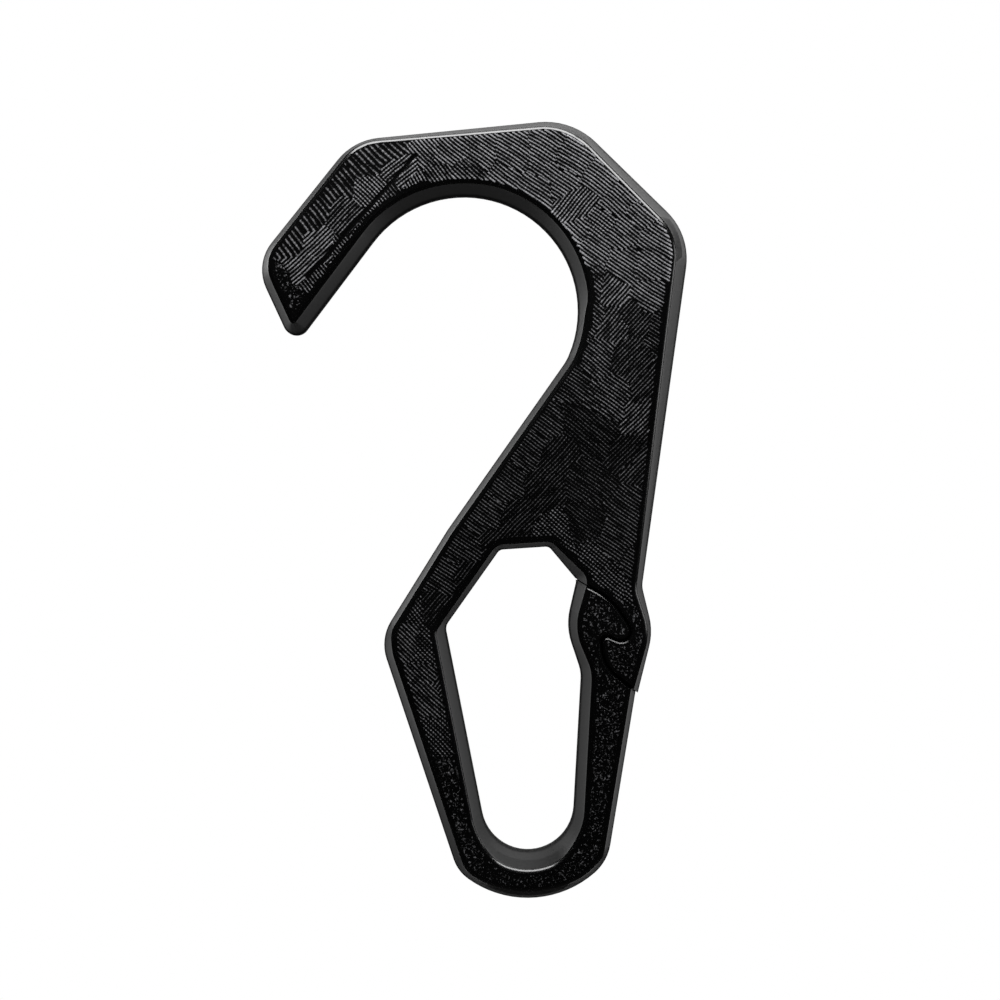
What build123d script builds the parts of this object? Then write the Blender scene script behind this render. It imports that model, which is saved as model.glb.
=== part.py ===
from build123d import *
import os
from math import sqrt, tan, radians

# Bucket hook, moulded in one piece: an open hook that goes over a ladder rung, and below it a closed loop
# for the bucket's bail, with a snap gate whose tooth hooks behind the body's nose.
# The outline is drawn as seen from the front, X towards the gate and Y up, from the centre of the rung seat.
# Sizes are in millimetres, slopes and tilts in degrees.

# Section: a straight land at the parting line, drafted walls and rounded edges
THICKNESS = 10.0
PARTING_LAND = 1.2
WALL_DRAFT = 21.0
EDGE_ROUND = 0.6

# Rung seat, and the facets round it, each with its wall from the seat
SEAT_RADIUS = 19.0
TIP_INNER_SLOPE = 53.0
TIP_END_WALL = 9.4
TIP_END_TILT = 24.8
TIP_BACK_WALL = 13.1
TIP_BACK_SLOPE = 51.4
CROWN_WALL = 11.0
CROWN_SLOPE = 5.6
SHOULDER_WALL = 16.4
SHOULDER_SLOPE = 44.3
BACK_WALL = 16.7
BACK_TILT = 7.9
TIP_FACE_ROUND = 0.5
TIP_BACK_ROUND = 7.3
CROWN_LEFT_ROUND = 10.0
CROWN_RIGHT_ROUND = 12.0
SHOULDER_ROUND = 11.0

# Neck: its edge runs a little inside the seat's circle, then down to the knee
THROAT_INSET = 0.2
THROAT_ROUND = 10.0
NECK_SLOPE = 54.9
NECK_LENGTH = 31.4
NECK_BEND = 3.2
KNEE_ROUND = 7.5

# Bail seat at the bottom of the loop, with the walls of the leg, the gate and the foot round it
BAIL_RADIUS = 7.7
BAIL_SHIFT = 10.6
BAIL_DROP = 82.3
LEG_WALL = 6.9
LEG_OUTER_TILT = 18.5
LEG_INNER_TILT = 11.2
GATE_WALL = 7.0
GATE_OUTER_TILT = 10.0
GATE_INNER_TILT = 3.2
FOOT_WALL = 7.9
FOOT_RADIUS = 17.0
FOOT_LEFT_ROUND = 6.6
FOOT_RIGHT_ROUND = 7.9

# Top of the loop
LOOP_TOP_DROP = 40.2
LOOP_TOP_SLOPE = 3.8
LOOP_TOP_LENGTH = 8.2
LOOP_SLOPE = 54.7
LOOP_SLOPE_WALL = 9.1
LOOP_CORNER_ROUND = 1.2
LOOP_ELBOW_ROUND = 2.0

# Latch: the gate's head and the body's nose, with corners measured from the latch centre, across and up
LATCH_SHIFT = 24.2
LATCH_DROP = 52.7
GATE_TOP = (-5.4, 7.8)
GATE_BULGE = (-7.2, 0.0)
GATE_BULGE_ROUND = 10.5
GATE_HEEL_TILT = 18.5
GATE_HEEL_ROUND = 6.0
WAIST_DROP = 46.0
WAIST_ROUND = 4.0
NOSE_BULGE = (7.3, -0.8)
NOSE_BULGE_ROUND = 10.6
NOSE_TILT = 14.0
NOSE_STEP = 0.4
NOSE_BLEND = 2.5

# Seam between the gate's tooth and the nose, as the corners of its rounded route
SEAM_GAP = 0.2
SEAM_CHAMFER = 0.4
SEAM_OVERRUN = 0.1
SEAM_START = (-7.0, 8.7)
TOOTH_BACK = (0.3, 4.8)
TOOTH_BACK_ROUND = 12.0
TOOTH_END = (5.8, -4.0)
TOOTH_ROUND = 1.6
CATCH = (-1.5, -0.8)
CATCH_ROUND = 0.9
SEAM_HEEL = (-1.5, -5.7)
SEAM_HEEL_ROUND = 6.5
SEAM_END = (6.0, -12.2)

# Places worked out from the sizes above
SEAT_CENTRE = Vector(0, 0)
BAIL_CENTRE = Vector(BAIL_SHIFT, -BAIL_DROP)
FOOT_CENTRE = BAIL_CENTRE + Vector(0, FOOT_RADIUS - BAIL_RADIUS - FOOT_WALL)
LATCH_CENTRE = Vector(LATCH_SHIFT, -LATCH_DROP)
DRAFT_HEIGHT = (THICKNESS - PARTING_LAND) / 2
DRAFT_SPREAD = DRAFT_HEIGHT * tan(radians(WALL_DRAFT))


def along(start, heading, length):
    """The point reached from a start, going a length in the direction of a heading."""
    return start + Vector(length, 0).rotate(Axis.Z, heading)


def side(centre, facing, distance):
    """A straight side at a distance from a centre; facing is its direction from the centre."""
    return Axis(along(centre, facing, distance), Vector(0, 1).rotate(Axis.Z, facing))


def leaving(line, centre, radius):
    """The point where a line, followed in its own direction, leaves a circle."""
    nearest = line.position + line.direction * (centre - line.position).dot(line.direction)
    return nearest + line.direction * sqrt(radius**2 - (nearest - centre).length ** 2)


def at_latch(place):
    """A corner of the latch, from its place across and up."""
    return LATCH_CENTRE + Vector(*place)


def rounded(face, corners):
    """A face with some of its corners rounded, each given as a point and a radius."""
    for point, radius in corners:
        face = fillet(face.vertices().sort_by_distance(point)[0], radius)
    return face


def route(start, corners, end):
    """An open line through corners that are each given as a point and a radius."""
    points = [start] + [point for point, _ in corners] + [end]
    return FilletPolyline(*points, radius=[radius for _, radius in corners])


# Sides round the rung seat
tip_inner = side(SEAT_CENTRE, 90 + TIP_INNER_SLOPE, SEAT_RADIUS)
tip_end = side(SEAT_CENTRE, 180 + TIP_END_TILT, SEAT_RADIUS + TIP_END_WALL)
tip_back = side(SEAT_CENTRE, 90 + TIP_BACK_SLOPE, SEAT_RADIUS + TIP_BACK_WALL)
crown = side(SEAT_CENTRE, 90 + CROWN_SLOPE, SEAT_RADIUS + CROWN_WALL)
shoulder = side(SEAT_CENTRE, 90 - SHOULDER_SLOPE, SEAT_RADIUS + SHOULDER_WALL)
back = side(SEAT_CENTRE, -BACK_TILT, SEAT_RADIUS + BACK_WALL)

# Neck and leg
neck = side(SEAT_CENTRE, NECK_SLOPE - 90, SEAT_RADIUS - THROAT_INSET)
throat = leaving(neck, SEAT_CENTRE, SEAT_RADIUS)
neck_bend = along(neck.position, NECK_SLOPE - 180, NECK_LENGTH)
neck_low = Axis(neck_bend, along(Vector(0, 0), NECK_SLOPE + NECK_BEND - 180, 1))
leg_outer = side(BAIL_CENTRE, 180 + LEG_OUTER_TILT, BAIL_RADIUS + LEG_WALL)
leg_inner = side(BAIL_CENTRE, 180 + LEG_INNER_TILT, BAIL_RADIUS)
knee = neck_low.intersect(leg_outer)

# Seam from the loop's inside to the nose's tip
seam_corners = [
    (at_latch(TOOTH_BACK), TOOTH_BACK_ROUND),
    (at_latch(TOOTH_END), TOOTH_ROUND),
    (at_latch(CATCH), CATCH_ROUND),
    (at_latch(SEAM_HEEL), SEAM_HEEL_ROUND),
]
seam = route(at_latch(SEAM_START), seam_corners, at_latch(SEAM_END))
seam_last_run = Axis(at_latch(SEAM_HEEL), at_latch(SEAM_END) - at_latch(SEAM_HEEL))

# Nose, and the gate's outer side, which starts a step inside the nose's tip
nose_bulge = at_latch(NOSE_BULGE)
nose_low = Axis(nose_bulge, along(Vector(0, 0), -90 - NOSE_TILT, 1))
nose_tip = nose_low.intersect(seam_last_run)
waist = back.intersect(Axis((0, -WAIST_DROP), (1, 0)))
gate_start = nose_tip - Vector(NOSE_STEP, 0)
gate_wall = along(BAIL_CENTRE, -GATE_OUTER_TILT, BAIL_RADIUS + GATE_WALL)
gate_outer = Axis(gate_start, gate_wall - gate_start)
gate_blend = gate_start + gate_outer.direction * NOSE_BLEND
gate_rise = gate_outer.intersect(Axis((0, -LATCH_DROP), (1, 0)))

# Foot
foot_left = leaving(leg_outer, FOOT_CENTRE, FOOT_RADIUS)
foot_right = leaving(gate_outer, FOOT_CENTRE, FOOT_RADIUS)
foot_low = FOOT_CENTRE - Vector(0, FOOT_RADIUS)

# Inside of the loop
gate_inner = side(BAIL_CENTRE, -GATE_INNER_TILT, BAIL_RADIUS)
gate_bulge = at_latch(GATE_BULGE)
gate_heel = gate_inner.intersect(Axis(gate_bulge, along(Vector(0, 0), GATE_HEEL_TILT - 90, 1)))
loop_top = side(SEAT_CENTRE, LOOP_TOP_SLOPE - 90, LOOP_TOP_DROP)
loop_slope = side(SEAT_CENTRE, LOOP_SLOPE - 90, SEAT_RADIUS - THROAT_INSET + LOOP_SLOPE_WALL)
loop_left = loop_slope.intersect(loop_top)
loop_right = along(loop_left, LOOP_TOP_SLOPE, LOOP_TOP_LENGTH)
loop_elbow = loop_slope.intersect(leg_inner)


def outline(gate_side):
    """The outer outline, with the corners between the foot and the waist given as points and radii."""
    neck_edge = route(throat, [(neck_bend, 0), (knee, KNEE_ROUND)], foot_left)
    foot_edge = ThreePointArc(foot_left, foot_low, foot_right)
    head_corners = [
        (waist, WAIST_ROUND),
        (back.intersect(shoulder), SHOULDER_ROUND),
        (shoulder.intersect(crown), CROWN_RIGHT_ROUND),
        (crown.intersect(tip_back), CROWN_LEFT_ROUND),
        (tip_back.intersect(tip_end), TIP_BACK_ROUND),
        (tip_end.intersect(tip_inner), TIP_FACE_ROUND + DRAFT_SPREAD),
    ]
    back_edge = route(foot_right, gate_side + head_corners, tip_inner.position)
    seat_edge = ThreePointArc(tip_inner.position, Vector(0, SEAT_RADIUS), throat)
    face = make_face([*neck_edge.edges(), foot_edge.edge(), *back_edge.edges(), seat_edge.edge()])
    corners = [(throat, THROAT_ROUND), (foot_left, FOOT_LEFT_ROUND), (foot_right, FOOT_RIGHT_ROUND)]
    return rounded(face, corners)


def loop_outline():
    """The outline of the loop's inside at the parting line."""
    corners = [
        (loop_elbow, LOOP_ELBOW_ROUND),
        (loop_left, LOOP_CORNER_ROUND),
        (loop_right, LOOP_CORNER_ROUND),
        (at_latch(GATE_TOP), LOOP_CORNER_ROUND),
        (gate_bulge, GATE_BULGE_ROUND),
        (gate_heel, GATE_HEEL_ROUND),
    ]
    sides = route(leg_inner.position, corners, gate_inner.position)
    bail_edge = ThreePointArc(gate_inner.position, BAIL_CENTRE - Vector(0, BAIL_RADIUS), leg_inner.position)
    return make_face([*sides.edges(), bail_edge.edge()])


def drafted(face, draft):
    """A face carried from the parting line to the front: straight over the land, then drafted."""
    land = extrude(face, PARTING_LAND / 2)
    return land + Pos(0, 0, PARTING_LAND / 2) * extrude(face, DRAFT_HEIGHT, taper=draft)


def moulding(gate_side):
    """The whole ring without the seam: its front half, with rounded edges, and the same behind."""
    half = drafted(outline(gate_side), WALL_DRAFT) - drafted(loop_outline(), -WALL_DRAFT)
    half = fillet(half.faces().sort_by(Axis.Z)[-1].edges(), EDGE_ROUND)
    return half + mirror(half, Plane.XY)


def seam_cut():
    """The gap along the seam, opened by a chamfer at both faces and run on past them."""
    half_gap = SEAM_GAP / 2
    mouth = half_gap + SEAM_CHAMFER + SEAM_OVERRUN
    quarter = [
        (mouth, THICKNESS / 2 + SEAM_OVERRUN),
        (half_gap, THICKNESS / 2 - SEAM_CHAMFER),
    ]
    half = quarter + [(across, -through) for across, through in reversed(quarter)]
    section = Polyline(*half, *[(-across, through) for across, through in reversed(half)], close=True)
    start = Plane(seam @ 0, x_dir=(seam % 0).cross(Vector(0, 0, 1)), z_dir=seam % 0)
    return sweep(start * make_face(section.edges()), path=seam)


def gate_zone():
    """A block round the gate's head, bounded by the seam and by a line across the gate below the nose."""
    start = at_latch(SEAM_START)
    end = at_latch(SEAM_END)
    low = gate_blend.Y - NOSE_BLEND
    border = Polyline(end, (end.X, low), (start.X - NOSE_BLEND, low), start)
    return extrude(make_face([*seam.edges(), *border.edges()]), THICKNESS, both=True)


# The body carries the nose, and the gate's head has its own outer side
body = moulding([(gate_blend, 0), (nose_tip, 0), (nose_bulge, NOSE_BULGE_ROUND)])
arm = moulding([(gate_rise, NOSE_BULGE_ROUND)])
zone = gate_zone()
hook = (body - zone) + (arm & zone) - seam_cut()

# Standing up, with the front towards the negative Y side
hook = Rot(90, 0, 0) * hook

os.makedirs("parts", exist_ok=True)
export_step(hook, "parts/hook.step")
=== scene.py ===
import math

import bpy
import numpy as np
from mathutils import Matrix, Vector
from mathutils.geometry import delaunay_2d_cdt
from mathutils.kdtree import KDTree


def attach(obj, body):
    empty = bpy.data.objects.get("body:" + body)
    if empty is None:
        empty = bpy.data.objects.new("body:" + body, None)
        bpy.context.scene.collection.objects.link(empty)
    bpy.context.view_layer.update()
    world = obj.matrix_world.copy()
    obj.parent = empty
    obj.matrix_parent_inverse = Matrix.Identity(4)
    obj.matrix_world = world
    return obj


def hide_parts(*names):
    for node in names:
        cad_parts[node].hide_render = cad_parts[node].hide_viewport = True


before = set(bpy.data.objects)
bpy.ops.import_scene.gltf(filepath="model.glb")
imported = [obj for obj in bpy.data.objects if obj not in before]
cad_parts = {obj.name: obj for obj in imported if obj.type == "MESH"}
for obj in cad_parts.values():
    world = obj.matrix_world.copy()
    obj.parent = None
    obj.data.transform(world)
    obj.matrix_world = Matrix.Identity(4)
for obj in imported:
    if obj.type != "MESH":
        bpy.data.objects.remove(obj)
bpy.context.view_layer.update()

# The moulded hook is shown by one closed mesh. Its walls and rounded edges come from the solid, with the
# tops of some walls moved a little. Its two flat faces are drawn anew with the ridges of their moulded
# texture. Places on a face are in millimetres, across (X) and up (Z) from the centre of the rung seat, and
# ridge directions in degrees from across.

MM = 0.001

# Seeds: the first, what the back adds to it, and what patch borders, ridge runs and margins add
SEED = 7
BACK_SEED = 200
WANDER_SEEDS = (1, 2)
RUN_SEED = 50
MARGIN_SEED = 400

# Soft noise: cells along its grid, where it is read from, and how far apart neighbouring ridges read it
NOISE_CELLS = 64
NOISE_START = 100
RIDGE_APART = 7.31

# Mesh of the textured faces, in millimetres, and the kind of triangulation that keeps inside the border
WELD = 0.0001
FLAT_LIMIT = 0.001
BORDER_STEP = 0.25
BORDER_CLEAR = 0.13
MERGE_GAP = 0.000001
INSIDE_ONLY = 1

# Slopes by which the solid's walls, rounded edges and seam chamfers are known, how far an edge reaches down
# from its face, in millimetres, and the least length that a normal is divided by. A lean is the share of a
# normal that points through the thickness, and a tilt is a normal's angle from that direction.
WALL_TILT = math.radians(69)
WALL_LEAN_SPAN = 0.05
FLAT_LEAN = 0.99
CHAMFER_LEANS = (0.6, 0.8)
CHAMFER_TURN = 0.25
EDGE_DEPTH = 0.395
SHORTEST_NORMAL = 1e-9

# Tilts that chamfers and rounded edges are shaded with, from the face's end to the wall's
CHAMFER_TILTS = (math.radians(35), math.radians(45))
EDGE_TILTS = (math.radians(28), math.radians(55))

# Texture: rows of points in a ridge, and in millimetres the band along a border where crests stand higher
# and carry a brighter painted highlight, its fade, how far a patch reaches, how its borders wander, and how
# wide the waves of a margin are. Ridges sway by a share of their pitch, as a sine wave that turns by some
# radians a millimetre.
ROWS_A_RIDGE = 3
EDGE_BAND = 0.9
EDGE_FADE = 0.5
PATCH_REACH = 8.0
PATCH_WANDER = 1.6
PATCH_WANDER_SCALE = 2.0
RIDGE_SWAY = 0.12
SWAY_TURN = 0.8
MARGIN_SCALE = 0.7

# Kinds of ridges: pitch, step along a ridge, height, length of a ridge's runs, how far runs fade, the gain
# and the cut that make them sharp and sparse, how far they part into beads, and how strong crests are,
# which sets both how high they stand and how bright their painted highlight is
RIB = dict(
    pitch=0.84, step=0.21, height=0.17, run=1.2,
    fade=0.4, gain=2.0, cut=0.15, beads=0.3, crest=0.80,
)
LINE = dict(
    pitch=0.55, step=0.21, height=0.13, run=1.6,
    fade=0.3, gain=2.0, cut=0.15, beads=0.25, crest=1.0,
)
DASH = dict(
    pitch=0.55, step=0.19, height=0.13, run=0.8,
    fade=0.35, gain=2.2, cut=0.12, beads=0.35, crest=0.82,
)
DOT = dict(
    pitch=0.54, step=0.18, height=0.13, run=1.2,
    fade=0.3, gain=2.0, cut=0.12, beads=0.65, crest=0.88,
)
GRID = dict(
    pitch=0.54, step=0.18, height=0.13, run=1.2,
    fade=0.25, gain=2.0, cut=0.1, beads=0.5, crest=1.1,
)
SOFT = dict(
    pitch=0.54, step=0.19, height=0.12, run=1.4,
    fade=0.3, gain=2.0, cut=0.1, beads=0.3, crest=0.66,
)
FAINT = dict(
    pitch=0.54, step=0.19, height=0.11, run=1.4,
    fade=0.3, gain=2.0, cut=0.1, beads=0.35, crest=0.58,
)
BEAD_STEPS = 3

# Specks: pitch, step and height as above, the share of points that are raised, and their crests' strength,
# which sets both their height and their painted highlight
SPECK = dict(pitch=0.60, step=0.20, height=0.11, scatter=0.5, weakest=0.25, spread=0.40)
SPECK_JITTER = 0.11

# How much coarser the texture is drawn, on the front and on the back
FACE_COARSENESS = (1.0, 1.5)

# Where each kind of texture lies: across, up, ridge direction and kind
TIP_PATCHES = [
    (-28.1, 11.1, -56, RIB),
    (-24.8, 15.7, -52, RIB),
    (-21.1, 20.4, -47, RIB),
    (-16.6, 24.2, -42, RIB),
    (-11.7, 25.5, -38, RIB),
    (-26.8, 6.5, 42, LINE),
    (-23.2, 10.6, 42, LINE),
    (-19.4, 14.7, 45, DASH),
    (-15.0, 19.3, -44, GRID),
    (-10.7, 22.6, 40, GRID),
]
GROOVE_PATCHES = [
    (-23.9, 4.0, -50, DASH),
    (-19.4, 9.1, -48, DASH),
    (-15.3, 13.5, -48, DASH),
    (-11.2, 17.6, -52, DASH),
    (-7.9, 20.4, -60, GRID),
    (-29.3, 3.7, -60, SPECK),
    (-26.8, 0.4, -60, SPECK),
]
CROWN_PATCHES = [
    (-6.3, 25.8, -45, LINE),
    (-2.2, 25.0, -40, LINE),
    (2.7, 25.5, -37, LINE),
    (8.5, 25.8, -34, LINE),
    (13.4, 25.8, -32, LINE),
    (-3.8, 22.2, -50, DASH),
    (1.1, 21.2, -40, DASH),
    (6.8, 20.1, -36, LINE),
    (10.9, 18.5, -35, LINE),
]
SHOULDER_PATCHES = [
    (18.3, 24.2, -33, LINE),
    (22.4, 21.7, -36, LINE),
    (26.5, 18.5, -40, LINE),
    (29.8, 15.2, -38, LINE),
    (31.4, 11.1, -33, LINE),
    (15.8, 20.9, -36, LINE),
    (18.3, 16.8, 50, GRID),
    (21.6, 13.5, -36, GRID),
    (25.7, 11.9, -36, LINE),
    (30.6, 7.0, -33, LINE),
    (18.3, 11.9, -40, LINE),
    (20.8, 9.4, -38, LINE),
    (26.5, 7.0, -36, LINE),
]
SPINE_PATCHES = [
    (21.1, 3.7, -40, DASH),
    (20.8, -2.0, -38, DASH),
    (24.4, 2.9, 50, LINE),
    (24.0, -2.9, 50, DASH),
    (30.6, 2.1, -33, LINE),
    (29.0, -2.0, 45, SOFT),
    (32.2, -3.7, -35, SOFT),
    (27.3, -8.6, 47, SOFT),
    (22.4, -8.6, -38, DASH),
    (30.6, -12.7, 48, SOFT),
    (29.8, -18.4, 45, DASH),
    (23.2, -14.3, -37, DASH),
]
NECK_START = (17.1, -12.7)
NECK_STEP = (-3.37, -5.28)
NECK_COUNT = 7
NECK_DIRECTION = -35
BODY_PATCHES = [
    (18.3, -18.4, -38, FAINT),
    (22.4, -21.7, -38, FAINT),
    (26.5, -24.2, 46, FAINT),
    (15.8, -24.2, 48, FAINT),
    (12.6, -29.9, 46, FAINT),
    (20.8, -28.3, -36, FAINT),
    (29.0, -26.6, 44, SOFT),
    (9.3, -34.8, 45, FAINT),
    (14.2, -36.5, -38, DOT),
    (6.0, -38.9, 46, FAINT),
    (19.9, -35.7, -36, FAINT),
    (27.3, -33.2, -36, SOFT),
    (24.9, -38.9, -35, SOFT),
    (29.0, -41.4, -35, SOFT),
    (20.8, -41.4, -36, DOT),
    (24.0, -44.7, -38, DOT),
    (29.0, -46.3, -38, DOT),
    (1.1, -44.7, 50, FAINT),
    (-3.8, -49.6, 48, FAINT),
]
KNEE_PATCHES = [
    (-8.8, -50.4, -50, DOT),
    (-9.6, -54.5, -42, DASH),
    (-6.3, -56.2, -42, DOT),
    (-7.1, -60.3, -42, DASH),
    (-5.2, -64.4, -44, DASH),
    (-3.0, -62.7, 52, DASH),
    (-3.8, -70.1, -45, DOT),
]
LEG_PATCHES = [
    (-1.4, -76.7, 45, SPECK),
    (0.7, -83.2, 45, SPECK),
    (3.0, -89.8, 45, SPECK),
    (9.3, -93.9, 0, SPECK),
    (15.8, -93.9, 0, SPECK),
]
GATE_PATCHES = [
    (22.4, -50.4, 30, SPECK),
    (20.8, -57.8, 30, SPECK),
    (22.4, -64.4, 30, SPECK),
    (21.1, -70.9, 30, SPECK),
    (20.4, -79.1, 30, SPECK),
    (19.1, -87.3, 30, SPECK),
    (28.1, -51.2, 30, SPECK),
    (27.0, -57.8, 30, SPECK),
]

# The groove along the tip's inside, in millimetres, and the power by which it runs out
GROOVE_ENDS = ((-7.9, 24.9), (-25.6, 5.0))
GROOVE_HALF_WIDTH = 0.42
GROOVE_DEPTH = 0.16
GROOVE_TAPER = 1.6

# Stretches of wall that are narrower or wider than the solid's even draft makes them: from place to place
# along their tops, the share of the shift by which the top moves, outwards or, where negative, inwards, and
# how far beyond the stretch the shift fades, in millimetres
WALL_STRETCHES = [
    ((-13.0, 27.5), (-2.0, 28.5), 0.5, 12.0),
    ((20.9, 26.9), (27.0, 21.0), -0.5, 9.0),
    ((33.0, 14.8), (35.0, 8.5), -1.0, 5.0),
    ((28.3, -44.5), (28.2, -47.5), 0.5, 2.0),
    ((29.4, -49.5), (29.6, -56.5), 1.0, 2.0),
    ((29.6, -56.5), (27.2, -64.5), 0.6, 2.0),
    ((27.2, -64.5), (22.6, -88.5), 0.6, 2.0),
    ((19.6, -49.0), (19.4, -55.0), 0.45, 2.0),
    ((19.5, -3.0), (-10.6, -51.0), 1.0, 4.0),
    ((-3.4, -50.5), (4.1, -39.1), 1.0, 2.0),
    ((5.0, -38.2), (14.6, -38.0), 1.0, 2.0),
    ((9.0, -91.3), (12.2, -91.3), -1.3, 7.0),
]
WALL_SHIFT = 0.62
WALL_SHIFT_REACH = 1.5
WALL_NEIGHBOURS = 2

# Strip in the gate's seam: corners of its rounded route with their radii, and its section, in millimetres,
# with the section's corners as sides across the seam and through the thickness
SEAM_ROUTE = [
    ((18.88, -44.90), 0),
    ((24.5, -47.9), 12.0),
    ((30.0, -56.7), 1.6),
    ((22.7, -53.5), 0.9),
    ((22.7, -58.4), 6.5),
    ((28.55, -63.55), 0),
]
SEAM_STRIP_HALF_WIDTH = 0.22
SEAM_STRIP_HALF_DEPTH = 2.5
SEAM_STRIP_END_HALF_DEPTH = 0.6
SEAM_STRIP_SECTION = [(1, -1), (1, 1), (-1, 1), (-1, -1)]
ROUTE_STEPS = 12

# Black plastic: noise scales, depths from mid thickness in metres where walls and parting land end, tones
# from valley to crest with the crests between which they change, where the crests' greys are painted
# highlights, and roughness from face to wall
CLOUD_SCALE = 60.0
CLOUD_RANGE = (0.35, 0.65)
GRAIN_SCALE = 2600.0
WALL_END = (0.0043, 0.0047)
PARTING_END = (0.0008, 0.0016)
DARK_TONES = (0.0008, 0.0014)
DARK_TINT = 0.06
# Painted highlight: the crests' grey tones, lightest for the strongest crests along the borders
CREST_HIGHLIGHT_TONE = 0.19
CREST_HIGHLIGHT_CRESTS = (0.26, 0.95)
STRONGEST_HIGHLIGHT_TONE = 0.45
STRONGEST_HIGHLIGHT_CRESTS = (1.0, 1.8)
CREST_TINT = 0.04
FACE_ROUGHNESS = 0.17
UNEVEN_ROUGHNESS = 0.03
WALL_ROUGHNESS = 0.34
WALL_ROUGHNESS_SLOPE = 26.0
PARTING_ROUGHNESS = 0.40
BUMP_STRENGTH = 0.10
BUMP_HEIGHT = 0.00004
PLASTIC_IOR = 1.5

# Studio, in millimetres from the rung seat: a floor that fades to white between two shares of its radius,
# black cards, and a surround that lights little
FLOOR_LEVEL = -300.0
FLOOR_RADIUS = 600.0
FLOOR_SIDES = 96
FLOOR_NOISE_SCALE = 9.0
FLOOR_TONES = (0.90, 0.94)
FLOOR_FADE = (0.35, 0.95)
FLOOR_WHITE = (0.45, 1.0)
TENT_REACH = 700.0
TENT_BOTTOM = -285.0
TENT_NOISE_SCALE = 5.0
TENT_TONES = (0.02, 0.03)
SURROUND_LIGHT = 0.25

# Soft boxes over the hook's front, and dimmer ones behind it for its side walls: place, target and sides in
# millimetres, radiance, and whether glossy surfaces mirror them
SOFT_BOXES = {
    "top_box": ((30, -82, 105), (30, 0, 20), (300, 50), 8.4, False),
    "top_strip": ((45, -50, 220), (45, 0, 0), (400, 90), 14.0, True),
    "over_box": ((0, 45, 330), (0, 45, 0), (340, 150), 1.6, True),
    "back_top": ((80, 340, 190), (5, 0, -20), (540, 300), 1.1, True),
    "back_right": ((290, 340, -70), (5, 0, -30), (280, 330), 0.65, True),
    "back_left": ((-290, 340, -70), (5, 0, -30), (280, 330), 0.66, True),
    "back_neck": ((-250, 338, 110), (5, 0, -30), (150, 150), 2.0, True),
    "back_low": ((0, 340, -270), (5, 0, -30), (360, 160), 0.6, True),
    "side_strip": ((450, -10, 40), (30, 0, 0), (100, 220), 3.5, True),
}

# Camera, as far in front of the hook's mid plane as the photograph's perspective shows, in millimetres
IMAGE_PIXELS = 1000
MM_PER_PIXEL = 0.167
CAMERA_PLACE = (6.0, -274.0, -31.6)
SENSOR_WIDTH = 36.0
NEAREST_SEEN = 10.0


class Value:
    """A socket of a node tree, with arithmetic that adds Math nodes."""

    def __init__(self, finish, socket):
        self.finish = finish
        self.socket = socket

    def math(self, operation, *operands):
        return self.finish.node("ShaderNodeMath", {"operation": operation}, dict(enumerate(operands)))

    def __add__(self, other):
        return self.math("ADD", self, other)

    def __radd__(self, other):
        return self.math("ADD", other, self)

    def __sub__(self, other):
        return self.math("SUBTRACT", self, other)

    def __rsub__(self, other):
        return self.math("SUBTRACT", other, self)

    def __mul__(self, other):
        return self.math("MULTIPLY", self, other)

    def __rmul__(self, other):
        return self.math("MULTIPLY", other, self)

    def most(self, other):
        return self.math("MAXIMUM", self, other)


class Finish:
    """A node tree that is written as expressions."""

    def __init__(self, owner):
        owner.use_nodes = True
        self.tree = owner.node_tree
        self.tree.nodes.clear()

    def node(self, kind, settings=None, values=None, output=0):
        """A node of a kind with its settings and its sockets' values or links, as one output's value."""
        made = self.tree.nodes.new(kind)
        for name, setting in (settings or {}).items():
            setattr(made, name, setting)
        for name, value in (values or {}).items():
            if isinstance(value, Value):
                self.tree.links.new(value.socket, made.inputs[name])
            else:
                made.inputs[name].default_value = value
        return Value(self, made.outputs[output]) if made.outputs else None

    def place(self):
        """The place on the object, in metres."""
        return self.node("ShaderNodeTexCoord", output="Object")

    def noise(self, place, scale):
        return self.node("ShaderNodeTexNoise", values={"Vector": place, "Scale": scale})

    def between(self, value, low, high, start=0.0, end=1.0):
        """A value's share of the way from low to high, smooth and held at the ends."""
        values = {"Value": value, "From Min": low, "From Max": high, "To Min": start, "To Max": end}
        return self.node("ShaderNodeMapRange", {"interpolation_type": "SMOOTHSTEP"}, values)

    def blend(self, share, first, second):
        """A colour between two, by a share."""
        values = {"Factor": share, "A": first, "B": second}
        return self.node("ShaderNodeMix", {"data_type": "RGBA"}, values, output="Result")


def tone(level, tint=0.0):
    """A grey as a colour socket takes it, a little bluer by the tint."""
    return (level, level, level * (1 + tint), 1.0)


def linked(name, data):
    """An object with its data, in the scene."""
    made = bpy.data.objects.new(name, data)
    bpy.context.scene.collection.objects.link(made)
    return made


def mesh_piece(name, places, faces):
    """A mesh object from places in millimetres and faces."""
    mesh = bpy.data.meshes.new(name)
    mesh.from_pydata((np.array(places) * MM).tolist(), [], faces)
    return linked(name, mesh)


def search_tree(places):
    """A tree that finds the nearest of some places, by their numbers."""
    tree = KDTree(len(places))
    for number, place in enumerate(places):
        tree.insert(place, number)
    tree.balance()
    return tree


def smooth_share(share):
    """A share held from 0 to 1, with soft ends."""
    held = np.clip(share, 0, 1)
    return held * held * (3 - 2 * held)


def read(items, name, width, kind=np.float64):
    """One property of all a mesh's items, as an array."""
    values = np.empty(len(items) * width, kind)
    items.foreach_get(name, values)
    return values.reshape(-1, width)


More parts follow.
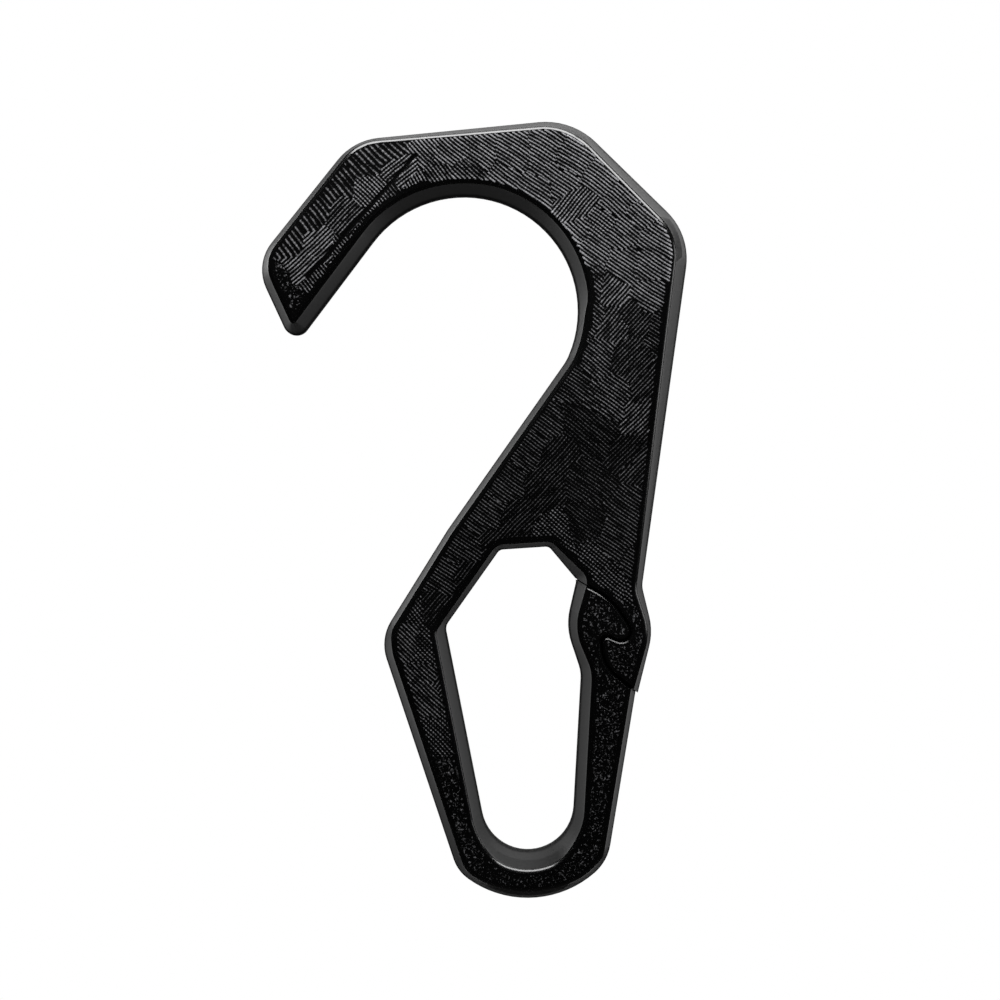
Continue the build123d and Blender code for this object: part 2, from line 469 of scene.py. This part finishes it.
def welded_triangles(node):
    """A node's triangles with shared corners: places in millimetres, corner numbers, corner normals."""
    mesh = node.data
    places = read(mesh.vertices, "co", 3) / MM
    corners = read(mesh.loops, "vertex_index", 1, np.int32).reshape(-1, 3)
    normals = read(mesh.corner_normals, "vector", 3).reshape(-1, 3, 3)
    keys = np.round(places / WELD).astype(np.int64)
    _, first, number = np.unique(keys, axis=0, return_index=True, return_inverse=True)
    corners = number.reshape(-1)[corners]
    whole = (corners != np.roll(corners, 1, axis=1)).all(axis=1)
    return places[first], corners[whole], normals[whole]


def smooth_noise(points, scale, seed):
    """Soft random heights from 0 to 1 over the plane, with hills about a scale across."""
    grid = np.random.default_rng(seed).random((NOISE_CELLS, NOISE_CELLS))
    spot = points / scale
    cell = np.floor(spot).astype(int)
    across, up = smooth_share(spot - cell).T
    (left, bottom), (right, top) = (cell % NOISE_CELLS).T, ((cell + 1) % NOISE_CELLS).T
    below = grid[left, bottom] * (1 - across) + grid[right, bottom] * across
    above = grid[left, top] * (1 - across) + grid[right, top] * across
    return below * (1 - up) + above * up


def all_patches():
    """Every patch of texture on a face, with how far from the face's border its ridges start and fade in,
    and how much higher its crests stand, with a brighter painted highlight, along the border."""
    neck = [
        (NECK_START[0] + NECK_STEP[0] * step, NECK_START[1] + NECK_STEP[1] * step, NECK_DIRECTION, SOFT)
        for step in range(NECK_COUNT)
    ]
    zones = [
        (TIP_PATCHES, 0.1, 0.2, 0.0),
        (GROOVE_PATCHES, 0.45, 0.2, 0.0),
        (CROWN_PATCHES, 0.02, 0.1, 0.25),
        (SHOULDER_PATCHES, 0.02, 0.1, 0.6),
        (SPINE_PATCHES, 0.55, 0.2, 0.0),
        (neck, 0.05, 0.2, 0.0),
        (BODY_PATCHES, 0.25, 0.3, 0.0),
        (KNEE_PATCHES, 0.2, 0.3, 0.0),
        (LEG_PATCHES, 0.15, 0.2, 0.0),
        (GATE_PATCHES, 0.15, 0.2, 0.0),
    ]
    return [(*patch, *edge) for patches, *edge in zones for patch in patches]


def ridge_crests(row, step, kind, seed):
    """How high each point of a patch's rows stands, from 0 to 1: ridges in soft runs, parted into beads."""
    ridge = np.floor_divide(row + ROWS_A_RIDGE // 2, ROWS_A_RIDGE)
    shape = kind["crest"] * (0.5 + 0.5 * np.cos(2 * math.pi * row / ROWS_A_RIDGE))
    spots = np.stack([step * kind["step"] / kind["run"], ridge * RIDGE_APART], axis=1) + NOISE_START
    runs = np.clip(kind["gain"] * (smooth_noise(spots, 1.0, seed) - kind["cut"]), 0, 1)
    bead = 0.5 + 0.5 * np.cos(2 * math.pi * step / BEAD_STEPS)
    return shape * (1 - kind["fade"] * (1 - runs)) * (1 - kind["beads"] * (1 - bead))


def speck_crests(count, kind, random):
    """How high each of a number of points stands, from 0 to 1: some raised as specks, most of them weak."""
    raised = random.random(count) < kind["scatter"]
    return raised * (kind["weakest"] + kind["spread"] * random.random(count) ** 2)


def inside_border(points, border):
    """Which points lie inside a border, given as segments, by counting the crossings to one side."""
    inside = np.zeros(len(points), bool)
    for start, end in border:
        if start[1] == end[1]:
            continue
        across = (start[1] > points[:, 1]) != (end[1] > points[:, 1])
        level = (points[:, 1] - start[1]) / (end[1] - start[1])
        inside ^= across & (points[:, 0] < start[0] + level * (end[0] - start[0]))
    return inside


def nearest_patch(points, centres):
    """The number of the patch that each point belongs to, with ragged borders between patches."""
    spots = points + NOISE_START
    sway = [smooth_noise(spots, PATCH_WANDER_SCALE, SEED + side) - 0.5 for side in WANDER_SEEDS]
    swayed = points + PATCH_WANDER * np.stack(sway, axis=1)
    apart = ((swayed[:, None] - centres) ** 2).sum(axis=2)
    return apart.argmin(axis=1)


def patch_rows(number, patch, centres, coarse):
    """One patch's points in rows along its ridges, each with its row's number and its step's."""
    across, up, direction, kind = patch[:4]
    row_gap = coarse * kind["pitch"] / ROWS_A_RIDGE
    step_gap = coarse * kind["step"]
    row_reach = round(PATCH_REACH / row_gap)
    step_reach = round(PATCH_REACH / step_gap)
    rows = np.arange(-row_reach, row_reach + 1)
    steps = np.arange(-step_reach, step_reach + 1)
    row, step = (grid.ravel() for grid in np.meshgrid(rows, steps))
    angle = math.radians(direction)
    lead = np.array([math.cos(angle), math.sin(angle)])
    side = np.array([-math.sin(angle), math.cos(angle)])
    sway = RIDGE_SWAY * kind["pitch"] * np.sin(step * step_gap * SWAY_TURN + number)
    points = np.outer(step * step_gap, lead) + np.outer(row * row_gap + sway, side) + (across, up)
    own = nearest_patch(points, centres) == number
    return points[own], row[own], step[own]


def ridge_points(border, ring_points, coarse, seed):
    """The texture's points on a face, row by row along each patch's ridges: places, crests and heights."""
    patches = all_patches()
    centres = np.array([patch[:2] for patch in patches])
    random = np.random.default_rng(seed)
    gathered = []
    for number, patch in enumerate(patches):
        kind, margin, fade, edge = patch[3:]
        points, row, step = patch_rows(number, patch, centres, coarse)
        if "scatter" in kind:
            points = points + coarse * SPECK_JITTER * (random.random(points.shape) - 0.5)
            crest = speck_crests(len(points), kind, random)
        else:
            crest = ridge_crests(row, step, kind, seed + RUN_SEED + number)
        start = margin * (0.5 + smooth_noise(points + NOISE_START, MARGIN_SCALE, seed + MARGIN_SEED))
        same = np.ones(len(row))
        height = kind["height"] * same
        gathered.append(np.column_stack([points, crest, height, start, fade * same, edge * same]))
    gathered = np.concatenate(gathered)
    gathered = gathered[inside_border(gathered[:, :2], border)]
    tree = search_tree([(*point, 0) for point in ring_points])
    clear = np.array([tree.find((*point, 0))[2] for point in gathered[:, :2]])
    free = clear > BORDER_CLEAR
    clear = clear[free]
    points = gathered[free, :2]
    crest, height, start, fade, edge = gathered[free, 2:].T
    low, depth = groove(points)
    # Along the border crests stand higher and, past full strength, carry only a brighter painted highlight
    rim = 1 + edge * np.clip((EDGE_BAND - clear) / EDGE_FADE, 0, 1)
    crest = crest * rim * np.clip((clear - start) / fade, 0, 1) * (1 - low)
    return points, crest, height * np.minimum(crest, 1) - depth


def along_line(points, ends):
    """Each point's nearest place on a straight line, as a share of its length, and the distance to it."""
    start, end = (np.array(place) for place in ends)
    run = end - start
    share = np.clip((points - start) @ run / (run @ run), 0, 1)
    return share, np.linalg.norm(points - start - share[..., None] * run, axis=-1)


def groove(points):
    """How far each point lies in the groove along the tip's inside, and how deep the groove is there."""
    share, off = along_line(points, GROOVE_ENDS)
    low = np.clip(1 - (off / GROOVE_HALF_WIDTH) ** 2, 0, 1)
    return low, GROOVE_DEPTH * low * (1 - share) ** GROOVE_TAPER


def seam_chamfers(normals):
    """Which triangles are the seam's chamfers, by their slope and their flatness."""
    least, most = CHAMFER_LEANS
    lean = np.abs(normals[:, :, 1])
    turn = np.linalg.norm(normals - np.roll(normals, 1, axis=1), axis=2).max(axis=1)
    return ((lean > least) & (lean < most)).all(axis=1) & (turn < CHAMFER_TURN)


def wall_shifts(points):
    """How far the wall's top is moved at each point, outwards or, where negative, inwards."""
    shares = []
    for start, end, share, fade in WALL_STRETCHES:
        _, off = along_line(points, (start, end))
        near = smooth_share(1 - (off - WALL_SHIFT_REACH) / fade)
        shares.append(share * near)
    return WALL_SHIFT * (np.max(shares, axis=0).clip(0) + np.min(shares, axis=0).clip(None, 0))


def shifted_wall_tops(places, corners, normals):
    """The hook's places with the rounded edges of its faces moved along its narrower and wider walls."""
    depth = np.abs(places[:, 1])
    sloped = np.abs(np.abs(normals[:, :, 1]) - math.cos(WALL_TILT)) < WALL_LEAN_SPAN
    outward = np.zeros_like(places)
    np.add.at(outward, corners[sloped], normals[sloped] * (1, 0, 1))
    length = np.linalg.norm(outward, axis=1)
    wall_top = np.flatnonzero((length > 0) & (depth > depth.max() - EDGE_DEPTH))
    shifts = wall_shifts(places[wall_top][:, [0, 2]]) / length[wall_top]
    moves = outward[wall_top] * shifts[:, None]
    tree = search_tree(places[wall_top])
    deep = depth[corners] - depth.max()
    rounded = (deep > -EDGE_DEPTH).all(axis=1) & (deep < -WELD).any(axis=1) & ~seam_chamfers(normals)
    moved = places.copy()
    for number in np.unique(corners[rounded]):
        found = tree.find_n(places[number], WALL_NEIGHBOURS)
        nearness = np.array([1 / (gap + WELD) ** 2 for _, _, gap in found])
        moved[number] += nearness @ moves[[wall for _, wall, _ in found]] / nearness.sum()
    return moved


def split_border(places, corners, normals, face):
    """The hook's triangles off a face, split at each border step where they meet it, and that border."""
    count = len(places)
    added = []
    kept = [(tuple(corner), normal) for corner, normal in zip(corners[~face].tolist(), normals[~face])]
    owner = {}
    for number, (corner, _) in enumerate(kept):
        for turn in range(3):
            owner[corner[turn], corner[(turn + 1) % 3]] = (number, turn)
    edges = {edge for corner in corners[face].tolist() for edge in zip(corner, corner[1:] + corner[:1])}
    segments = []
    for start, end in sorted(edges):
        if (end, start) in edges:
            continue
        length = np.linalg.norm(places[end] - places[start])
        pieces = max(1, round(length / BORDER_STEP))
        inner = [count + len(added) + step for step in range(pieces - 1)]
        shares = [(step + 1) / pieces for step in range(pieces - 1)]
        added += [places[start] + (places[end] - places[start]) * share for share in shares]
        ring = [start, *inner, end]
        segments += list(zip(ring, ring[1:]))
        if not inner:
            continue
        number, turn = owner[end, start]
        corner, normal = kept[number]
        first, second, third = (normal[(turn + step) % 3] for step in range(3))
        apex = corner[(turn + 2) % 3]
        ring_normals = [second + (first - second) * share for share in (0, *shares, 1)]
        fan = []
        for step in range(pieces):
            fan_normals = np.array([ring_normals[step + 1], ring_normals[step], third])
            fan.append(((ring[step + 1], ring[step], apex), fan_normals))
        kept[number] = fan[0]
        last = len(kept) + pieces - 2
        kept += fan[1:]
        owner[apex, end] = (last, 2)
        owner[start, apex] = (number, 1)
    places = np.concatenate([places, np.array(added).reshape(-1, 3)])
    corners = np.array([corner for corner, _ in kept])
    normals = np.array([normal for _, normal in kept])
    return places, corners, normals, np.array(segments)


def edge_normals(places, corners, normals):
    """Corner normals by which rounded edges and seam chamfers catch the light over most of their width."""
    one, two, three = (places[corners[:, turn]] for turn in range(3))
    flat = np.cross(two - one, three - one)[:, None]
    level = np.where(np.abs(normals[:, :, 1:2]) < FLAT_LEAN, normals, flat) * (1, 0, 1)
    level /= np.maximum(np.linalg.norm(level, axis=2, keepdims=True), SHORTEST_NORMAL)
    facing = np.sign(normals) * (0, 1, 0)
    lean = np.abs(normals[:, :, 1])
    depth = np.abs(places[corners][:, :, 1])
    face = depth.max()
    chamfer = seam_chamfers(normals)
    edge = (depth > face - EDGE_DEPTH).all(axis=1) & ~chamfer
    shallow, steep = CHAMFER_TILTS
    chamfer_tilt = np.where(depth > face - FLAT_LIMIT, shallow, steep)
    shallow, steep = EDGE_TILTS
    edge_tilt = shallow + (steep - shallow) * np.arccos(np.minimum(lean, 1)) / WALL_TILT
    tilt = np.where(chamfer[:, None], chamfer_tilt, edge_tilt)[:, :, None]
    eased = np.cos(tilt) * facing + np.sin(tilt) * level
    return np.where((chamfer | edge)[:, None, None], eased, normals)


def border_triangles(points, ring_count, segments, border):
    """Triangles between points, the border's own first, that keep inside the border."""
    vectors = [Vector(point) for point in points]
    result = delaunay_2d_cdt(vectors, segments.tolist(), [], INSIDE_ONLY, MERGE_GAP, True)
    source = np.array([origin[0] for origin in result[3]])
    triangles = source[np.array(result[2])]
    on_border = np.flatnonzero((triangles < ring_count).all(axis=1))
    middles = points[triangles[on_border]].mean(axis=1)
    return np.delete(triangles, on_border[~inside_border(middles, border)], axis=0)


def textured_face(places, segments, level, coarse, seed):
    """A flat face drawn anew with its ridges: new places, crests, triangles and their corner normals."""
    flat = places[:, [0, 2]]
    ring, numbers = np.unique(segments, return_inverse=True)
    border = flat[segments]
    points, crest, heights = ridge_points(border, flat[ring], coarse, seed)
    together = np.concatenate([flat[ring], points])
    rises = np.concatenate([np.zeros(len(ring)), heights])
    triangles = border_triangles(together, len(ring), numbers.reshape(-1, 2), border)
    outward = math.copysign(1, level)
    solid = np.stack([together[:, 0], level + outward * rises, together[:, 1]], axis=1)
    one, two, three = (solid[triangles[:, turn]] for turn in range(3))
    facing = np.cross(two - one, three - one)
    wrong = facing[:, 1] * outward < 0
    triangles[wrong] = triangles[wrong][:, [0, 2, 1]]
    facing[wrong] *= -1
    smooth = np.zeros_like(solid)
    for turn in range(3):
        np.add.at(smooth, triangles[:, turn], facing)
    smooth[: len(ring)] = (0, outward, 0)
    smooth /= np.linalg.norm(smooth, axis=1, keepdims=True)
    new = np.concatenate([ring, len(places) + np.arange(len(points))])
    return solid[len(ring):], crest, new[triangles], smooth[triangles]


def moulded_hook(node):
    """The whole hook as one closed mesh, with its two textured faces."""
    places, corners, normals = welded_triangles(node)
    places = shifted_wall_tops(places, corners, normals)
    faces = []
    for number, level in enumerate((places[:, 1].min(), places[:, 1].max())):
        face = (np.abs(places[corners][:, :, 1] - level) < FLAT_LIMIT).all(axis=1)
        places, corners, normals, segments = split_border(places, corners, normals, face)
        faces.append((segments, level, FACE_COARSENESS[number], SEED + BACK_SEED * number))
    crests = np.zeros(len(places))
    normals = edge_normals(places, corners, normals)
    for segments, level, coarse, seed in faces:
        added, crest, triangles, turned = textured_face(places, segments, level, coarse, seed)
        places = np.concatenate([places, added])
        crests = np.concatenate([crests, crest])
        corners = np.concatenate([corners, triangles])
        normals = np.concatenate([normals, turned])
    hook = mesh_piece("moulded_hook", places, corners.tolist())
    mesh = hook.data
    mesh.polygons.foreach_set("use_smooth", np.ones(len(corners), bool))
    mesh.normals_split_custom_set(normals.reshape(-1, 3).tolist())
    mesh.attributes.new("crest", "FLOAT", "POINT").data.foreach_set("value", crests.astype(np.float32))
    return hook


def rounded_route(corners):
    """Points along a route through corners, each given as a place and the radius that rounds it."""
    places = [np.array(place) for place, _ in corners]
    points = [places[0]]
    for number in range(1, len(corners) - 1):
        before, here, after = places[number - 1: number + 2]
        back = (before - here) / np.linalg.norm(before - here)
        onward = (after - here) / np.linalg.norm(after - here)
        half = math.acos(np.clip(back @ onward, -1, 1)) / 2
        radius = corners[number][1]
        middle = (back + onward) / np.linalg.norm(back + onward)
        centre = here + middle * radius / math.sin(half)
        first = here + back * radius / math.tan(half) - centre
        last = here + onward * radius / math.tan(half) - centre
        for share in np.linspace(0, 1, ROUTE_STEPS):
            arm = first * (1 - share) + last * share
            points.append(centre + arm * radius / np.linalg.norm(arm))
    points.append(places[-1])
    return np.array(points)


def seam_strip():
    """A thin dark strip deep inside the seam, which keeps light from showing through the closed gate."""
    route = rounded_route(SEAM_ROUTE)
    run = np.gradient(route, axis=0)
    side = np.stack([-run[:, 1], run[:, 0]], axis=1)
    side *= SEAM_STRIP_HALF_WIDTH / np.linalg.norm(side, axis=1, keepdims=True)
    depths = np.full(len(route), SEAM_STRIP_HALF_DEPTH)
    depths[[0, -1]] = SEAM_STRIP_END_HALF_DEPTH
    places = []
    for point, off, depth in zip(route, side, depths):
        for across, through in SEAM_STRIP_SECTION:
            x, z = point + across * off
            places.append((x, through * depth, z))
    count = len(SEAM_STRIP_SECTION)
    numbers = list(range(len(places)))
    faces = [numbers[:count][::-1], numbers[-count:]]
    for ring in numbers[:-count:count]:
        for turn in range(count):
            after = (turn + 1) % count
            faces.append((ring + turn, ring + after, ring + count + after, ring + count + turn))
    return mesh_piece("seam_strip", places, faces)


def black_plastic():
    """Black moulded plastic: dark satin, with painted highlights that turn the crests of its ridges grey.
    """
    material = bpy.data.materials.new("black_plastic")
    finish = Finish(material)
    place = finish.place()
    crest = finish.node("ShaderNodeAttribute", {"attribute_name": "crest"}, output="Fac")
    cloud = finish.noise(place, CLOUD_SCALE)
    grain = finish.noise(place, GRAIN_SCALE)
    depth = finish.node("ShaderNodeSeparateXYZ", values={"Vector": place}, output="Y")
    depth = depth.math("ABSOLUTE", depth)
    wall = 1 - finish.between(depth, *WALL_END)
    parting = 1 - finish.between(depth, *PARTING_END)
    darker, lighter = (tone(level, DARK_TINT) for level in DARK_TONES)
    colour = finish.blend(finish.between(cloud, *CLOUD_RANGE), darker, lighter)
    # Painted highlight: the crests are painted grey, and the strongest crests, along the borders, lighter
    # still
    crest_highlight = finish.between(crest * (0.5 + grain), *CREST_HIGHLIGHT_CRESTS)
    colour = finish.blend(crest_highlight, colour, tone(CREST_HIGHLIGHT_TONE, CREST_TINT))
    colour = finish.blend(finish.between(crest, *STRONGEST_HIGHLIGHT_CRESTS), colour, tone(STRONGEST_HIGHLIGHT_TONE, CREST_TINT))
    wall_rough = WALL_ROUGHNESS - WALL_ROUGHNESS_SLOPE * depth + PARTING_ROUGHNESS * parting
    rough = FACE_ROUGHNESS + UNEVEN_ROUGHNESS * cloud + UNEVEN_ROUGHNESS * grain + wall_rough * wall
    bump_values = {"Height": grain, "Strength": BUMP_STRENGTH, "Distance": BUMP_HEIGHT}
    bump = finish.node("ShaderNodeBump", values=bump_values)
    values = {"Base Color": colour, "Roughness": rough, "IOR": PLASTIC_IOR, "Normal": bump}
    shader = finish.node("ShaderNodeBsdfPrincipled", values=values)
    finish.node("ShaderNodeOutputMaterial", values={"Surface": shader})
    return material


def seen_rays(finish):
    """One for rays that show the background: from the camera, and by reflection or through glass."""
    kinds = ("Is Camera Ray", "Is Glossy Ray", "Is Transmission Ray")
    camera, glossy, through = (finish.node("ShaderNodeLightPath", output=kind) for kind in kinds)
    return camera.most(glossy).most(through)


def studio_floor():
    """A pale round floor below the hanging hook, which keeps its shadow and fades to white at its rim."""
    turns = [2 * math.pi * step / FLOOR_SIDES for step in range(FLOOR_SIDES)]
    ring = [(FLOOR_RADIUS * math.cos(turn), FLOOR_RADIUS * math.sin(turn), FLOOR_LEVEL) for turn in turns]
    floor = mesh_piece("floor", ring, [tuple(range(FLOOR_SIDES))])
    material = bpy.data.materials.new("floor_white")
    finish = Finish(material)
    place = finish.place()
    colour = finish.blend(finish.noise(place, FLOOR_NOISE_SCALE), *(tone(level) for level in FLOOR_TONES))
    paint = finish.node("ShaderNodeBsdfDiffuse", values={"Color": colour})
    light = finish.node("ShaderNodeEmission", values={"Color": tone(1.0), "Strength": 1.0})
    radius = finish.node("ShaderNodeVectorMath", {"operation": "LENGTH"}, {0: place}, output="Value")
    fade = [FLOOR_RADIUS * MM * share for share in FLOOR_FADE]
    rim = finish.between(radius, *fade, *FLOOR_WHITE)
    shader = finish.node("ShaderNodeMixShader", values={0: rim * seen_rays(finish), 1: paint, 2: light})
    finish.node("ShaderNodeOutputMaterial", values={"Surface": shader})
    floor.data.materials.append(material)


def studio_world():
    """A white surround behind everything, which lights little."""
    world = bpy.data.worlds.new("studio")
    bpy.context.scene.world = world
    finish = Finish(world)
    strength = SURROUND_LIGHT + (1 - SURROUND_LIGHT) * seen_rays(finish)
    light = finish.node("ShaderNodeBackground", values={"Color": tone(1.0), "Strength": strength})
    finish.node("ShaderNodeOutputWorld", values={"Surface": light})


def dark_tent():
    """Black cards round the hook, seen only by its gloss, so that black plastic keeps dark faces."""
    reach = (-TENT_REACH, TENT_REACH)
    corners = [(x, y, z) for x in reach for y in reach for z in (TENT_BOTTOM, TENT_REACH)]
    sides = [(0, 1, 3, 2), (4, 6, 7, 5), (0, 4, 5, 1), (2, 3, 7, 6), (0, 2, 6, 4), (1, 5, 7, 3)]
    tent = mesh_piece("dark_tent", corners, sides)
    tent.visible_camera = False
    tent.visible_diffuse = False
    tent.visible_shadow = False
    tent.visible_transmission = False
    material = bpy.data.materials.new("card_black")
    finish = Finish(material)
    noise = finish.noise(finish.place(), TENT_NOISE_SCALE)
    colour = finish.blend(noise, *(tone(level) for level in TENT_TONES))
    paint = finish.node("ShaderNodeBsdfDiffuse", values={"Color": colour})
    finish.node("ShaderNodeOutputMaterial", values={"Surface": paint})
    tent.data.materials.append(material)


def soft_light(name, place, target, size, radiance, mirrored):
    """A soft box at a place, turned to a target, both in millimetres, as bright as a white of that
    radiance, and mirrored in glossy surfaces or not."""
    light = bpy.data.lights.new(name, "AREA")
    light.shape = "RECTANGLE"
    light.size, light.size_y = (side * MM for side in size)
    light.energy = radiance * light.size * light.size_y * math.pi
    lamp = linked(name, light)
    lamp.location = Vector(place) * MM
    lamp.rotation_euler = (Vector(target) - Vector(place)).to_track_quat("-Z", "Y").to_euler()
    lamp.visible_camera = False
    lamp.visible_glossy = mirrored


def photo_camera():
    """The camera straight in front of the hook, with the photograph's framing."""
    camera = bpy.data.cameras.new("camera")
    camera.sensor_width = SENSOR_WIDTH
    camera.lens = SENSOR_WIDTH * -CAMERA_PLACE[1] / (IMAGE_PIXELS * MM_PER_PIXEL)
    camera.clip_start = NEAREST_SEEN * MM
    holder = linked("camera", camera)
    holder.location = Vector(CAMERA_PLACE) * MM
    holder.rotation_euler = (math.radians(90), 0, 0)
    bpy.context.scene.camera = holder


plastic = black_plastic()
hook = moulded_hook(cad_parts["hook"])
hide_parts("hook")
for piece in (hook, seam_strip()):
    piece.data.materials.append(plastic)
    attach(piece, "root")

studio_world()
studio_floor()
dark_tent()
for name, box in SOFT_BOXES.items():
    soft_light(name, *box)
photo_camera()
bpy.context.scene.view_settings.view_transform = "Standard"
